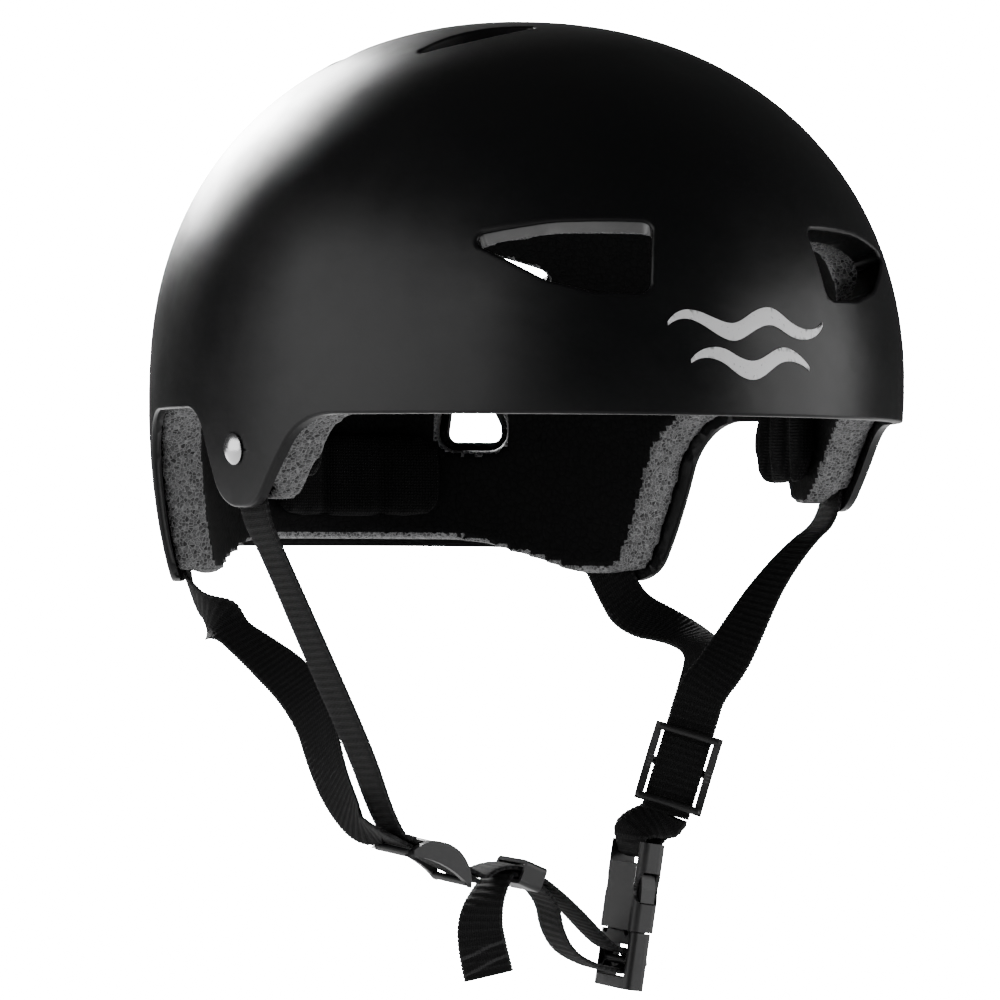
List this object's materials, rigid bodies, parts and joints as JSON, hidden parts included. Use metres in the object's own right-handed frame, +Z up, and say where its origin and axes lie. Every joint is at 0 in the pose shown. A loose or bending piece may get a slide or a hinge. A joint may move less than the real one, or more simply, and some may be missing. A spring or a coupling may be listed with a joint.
{
  "type": "water helmet",
  "caption": "Half-shell water sports helmet with a matte shell, foam liner, vents, rivets and a webbing chin harness with a side-release buckle.",
  "frame": {"origin": "centre of the head space, level with the lower edge of the front brim", "axes": "+Z up, the helmet's front faces -Y, the wearer's right is -X"},
  "size_m": [0.2144, 0.2764, 0.2942],
  "materials": {
    "shell_plastic": "matte",
    "foam_bead": "fused bead foam",
    "comfort_foam": "brushed knit over soft foam",
    "rivet_metal": "satin",
    "decal_print": "printed film",
    "webbing": "ribbed woven webbing",
    "buckle_plastic": "moulded satin"
  },
  "bodies": {
    "helmet": {"outer_shell": "shell_plastic", "foam_liner": "foam_bead", "brow_pad": "comfort_foam", "nape_pad": "comfort_foam", "crown_pad": "comfort_foam", "temple_pad_right": "comfort_foam", "temple_pad_left": "comfort_foam", "temple_rivet_right": "rivet_metal", "temple_rivet_left": "rivet_metal", "rear_rivet_right": "rivet_metal", "rear_rivet_left": "rivet_metal", "temple_washer_right": "rivet_metal", "temple_washer_left": "rivet_metal", "rear_washer_right": "rivet_metal", "rear_washer_left": "rivet_metal", "decal_wave_upper": "decal_print", "decal_wave_lower": "decal_print"},
    "chin_harness": {"front_strap_right": "webbing", "front_strap_left": "webbing", "rear_strap_right": "webbing", "rear_strap_left": "webbing", "socket_loop": "webbing", "chin_strap": "webbing", "strap_tail": "webbing", "buckle_socket": "buckle_plastic"},
    "buckle_plug": {"buckle_plug": "buckle_plastic"},
    "latch_arm_front": {"latch_arm_front": "buckle_plastic"},
    "latch_arm_back": {"latch_arm_back": "buckle_plastic"},
    "divider_right": {"divider_right": "buckle_plastic"},
    "divider_left": {"divider_left": "buckle_plastic"},
    "strap_keeper": {"strap_keeper": "buckle_plastic"}
  },
  "joints": [
    {"name": "harness_swing", "type": "hinge", "parent": "helmet", "child": "chin_harness", "pos_m": [0, -0.0225, -0.029], "axis": [1, 0, 0], "range_deg": [-8, 20], "deforming": ["front_strap_right", "front_strap_left", "rear_strap_right", "rear_strap_left"]},
    {"name": "buckle_release", "type": "slide", "parent": "chin_harness", "child": "buckle_plug", "axis": [-0.15, 0, -0.9887], "range_m": [0, 0.026], "deforming": ["chin_strap", "strap_tail", "latch_arm_front", "latch_arm_back"]},
    {"name": "latch_front_squeeze", "type": "hinge", "parent": "buckle_plug", "child": "latch_arm_front", "pos_m": [0.0294, -0.0244, -0.15454], "axis": [-0.9887, 0, 0.15], "range_deg": [0, 10], "stiffness_Nm_per_rad": 0.13},
    {"name": "latch_back_squeeze", "type": "hinge", "parent": "buckle_plug", "child": "latch_arm_back", "pos_m": [0.0294, -0.0116, -0.15454], "axis": [0.9887, 0, -0.15], "range_deg": [0, 10], "stiffness_Nm_per_rad": 0.13},
    {"name": "divider_right_slide", "type": "slide", "parent": "chin_harness", "child": "divider_right", "axis": [0.9016, 0.1002, -0.4208], "range_m": [0, 0.005]},
    {"name": "divider_left_slide", "type": "slide", "parent": "chin_harness", "child": "divider_left", "axis": [0.2401, -0.1401, 0.9606], "range_m": [0, 0.011]},
    {"name": "keeper_slide", "type": "slide", "parent": "chin_harness", "child": "strap_keeper", "axis": [0.9207, 0, -0.3903], "range_m": [-0.0015, 0.0015]}
  ],
  "couplings": [
    {"joint": "latch_back_squeeze", "follows": "latch_front_squeeze", "ratio": 1}
  ]
}
